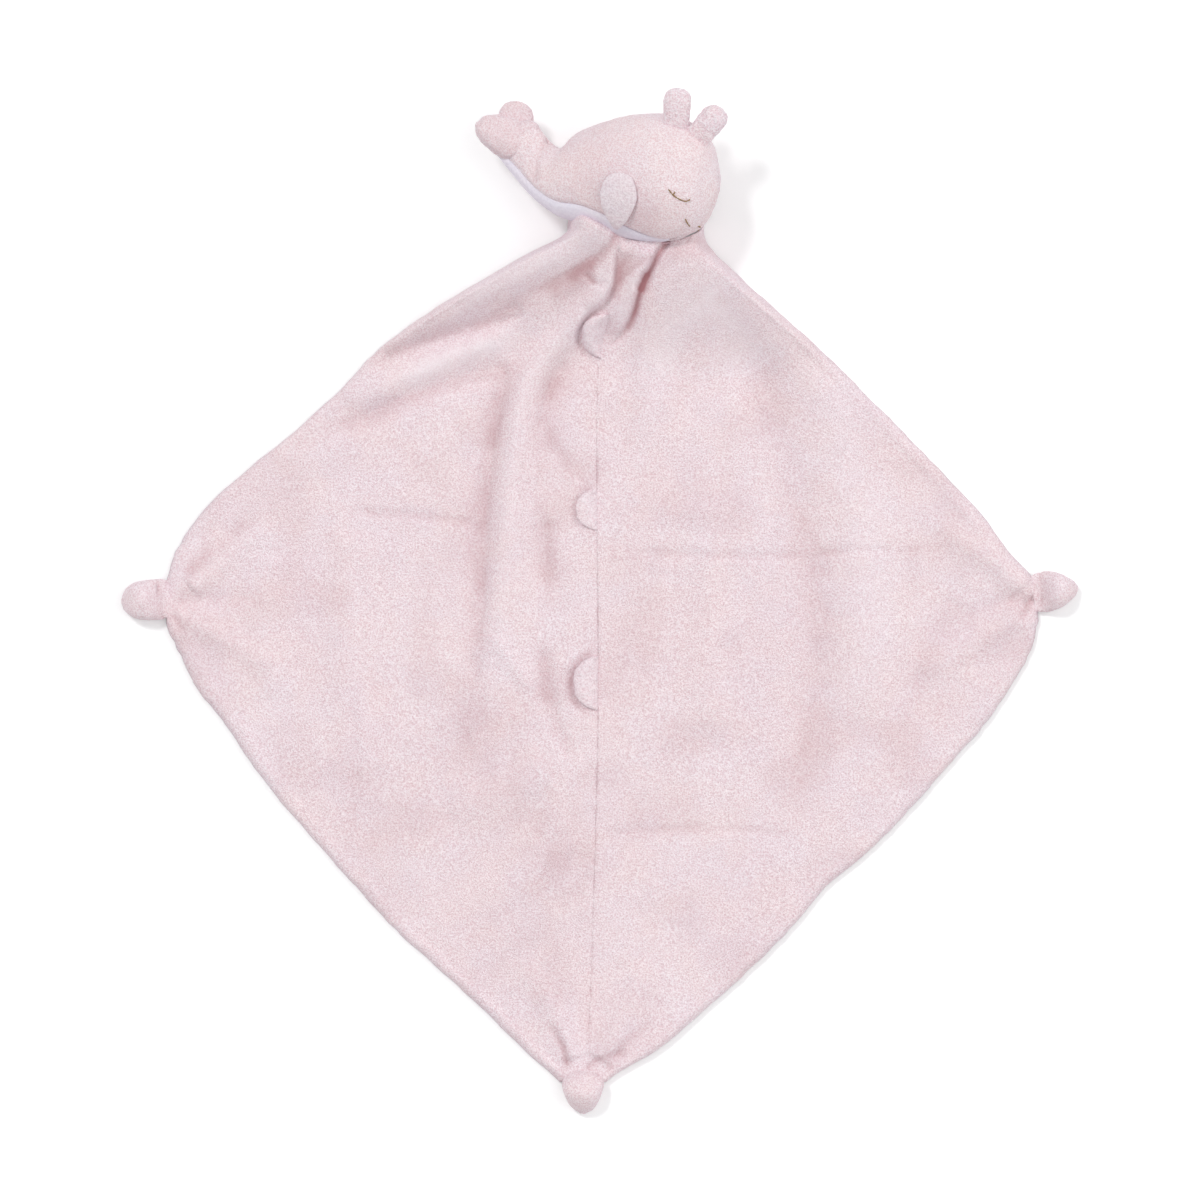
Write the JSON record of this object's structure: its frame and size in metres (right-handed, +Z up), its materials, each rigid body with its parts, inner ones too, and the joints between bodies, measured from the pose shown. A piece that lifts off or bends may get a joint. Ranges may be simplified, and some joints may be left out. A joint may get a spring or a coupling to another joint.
{
  "type": "comfort blanket lovey",
  "caption": "Plush whale gathered onto the corner of a flat diamond-shaped plush blanket with knotted corners and small half-round seam tabs.",
  "frame": {"origin": "on the flat underside of the blanket's back panel, midway between the side knots", "axes": "+Z up out of the blanket, +Y from the bottom corner towards the whale, +X to the right"},
  "size_m": [0.4787, 0.5135, 0.0656],
  "materials": {
    "pink_plush": "short-pile pale pink plush, matt, with a slight sheen on the pile",
    "pale_velour": "smooth off-white velour with a cool cast",
    "fin_velour": "lighter pink velour, shorter pile than the body",
    "fibre_filling": "white polyester fibre filling",
    "tan_thread": "tan embroidery thread",
    "pink_thread": "pink sewing thread"
  },
  "bodies": {
    "blanket": {"blanket_back_panel": "pink_plush", "blanket_front_left": "pink_plush", "blanket_front_right": "pink_plush", "centre_seam_thread": "pink_thread", "neck_thread": "pink_thread"},
    "whale": {"whale_side_right": "pink_plush", "whale_side_left": "pink_plush", "whale_belly": "pale_velour", "whale_stuffing": "fibre_filling", "eye_stitch_right": "tan_thread", "eye_stitch_left": "tan_thread", "mouth_stitch": "tan_thread"},
    "fin_right": {"fin_right": "fin_velour"},
    "fin_left": {"fin_left": "fin_velour"},
    "spout_right": {"spout_right": "pink_plush"},
    "spout_left": {"spout_left": "pink_plush"},
    "tail_flukes": {"tail_flukes": "pink_plush"},
    "tab_top": {"tab_top": "pink_plush"},
    "tab_middle": {"tab_middle": "pink_plush"},
    "tab_bottom": {"tab_bottom": "pink_plush"},
    "corner_knot_left": {"corner_knot_left": "pink_plush"},
    "corner_knot_right": {"corner_knot_right": "pink_plush"},
    "corner_knot_bottom": {"corner_knot_bottom": "pink_plush"}
  },
  "joints": [
    {"name": "whale_tilt", "type": "hinge", "parent": "blanket", "child": "whale", "pos_m": [0.03143, 0.17886, 0.0373], "axis": [1, 0, 0], "range_deg": [0, 75]},
    {"name": "fin_right_flap", "type": "hinge", "parent": "whale", "child": "fin_right", "pos_m": [0.00757, 0.18645, 0.05078], "axis": [0.946, -0.289, 0.147], "range_deg": [0, 70]},
    {"name": "fin_left_flap", "type": "hinge", "parent": "whale", "child": "fin_left", "pos_m": [0.01172, 0.18535, 0.01417], "axis": [-0.9198, 0.3204, -0.2267], "range_deg": [0, 55]},
    {"name": "spout_right_bend", "type": "hinge", "parent": "whale", "child": "spout_right", "pos_m": [0.03869, 0.24325, 0.04615], "axis": [0.9207, -0.3903, 0], "range_deg": [-25, 25], "stiffness_Nm_per_rad": 0.01},
    {"name": "spout_left_bend", "type": "hinge", "parent": "whale", "child": "spout_left", "pos_m": [0.05157, 0.23349, 0.05077], "axis": [0.9207, -0.3903, 0], "range_deg": [-25, 25], "stiffness_Nm_per_rad": 0.01},
    {"name": "tail_bend", "type": "hinge", "parent": "whale", "child": "tail_flukes", "pos_m": [-0.04403, 0.23344, 0.02486], "axis": [0.6397, 0.5466, -0.5404], "range_deg": [-25, 25], "stiffness_Nm_per_rad": 0.02},
    {"name": "tab_top_flip", "type": "hinge", "parent": "blanket", "child": "tab_top", "pos_m": [0.002, 0.13175, 0.01252], "axis": [0.1711, 0.8768, 0.4493], "range_deg": [0, 40]},
    {"name": "tab_middle_flip", "type": "hinge", "parent": "blanket", "child": "tab_middle", "pos_m": [-0.0015, 0.0455, 0.00634], "axis": [0, 1, 0.0011], "range_deg": [0, 130]},
    {"name": "tab_bottom_flip", "type": "hinge", "parent": "blanket", "child": "tab_bottom", "pos_m": [-0.001, -0.04125, 0.00638], "axis": [0, 1, 0], "range_deg": [0, 130]},
    {"name": "knot_left_lift", "type": "hinge", "parent": "blanket", "child": "corner_knot_left", "pos_m": [-0.2211, -0.0005, 0.0039], "axis": [0, 1, 0], "range_deg": [0, 60]},
    {"name": "knot_right_lift", "type": "hinge", "parent": "blanket", "child": "corner_knot_right", "pos_m": [0.2236, 0.0045, 0.0039], "axis": [0, -1, 0], "range_deg": [0, 60]},
    {"name": "knot_bottom_lift", "type": "hinge", "parent": "blanket", "child": "corner_knot_bottom", "pos_m": [-0.008, -0.2421, 0.0039], "axis": [-1, 0, 0], "range_deg": [0, 60]}
  ]
}
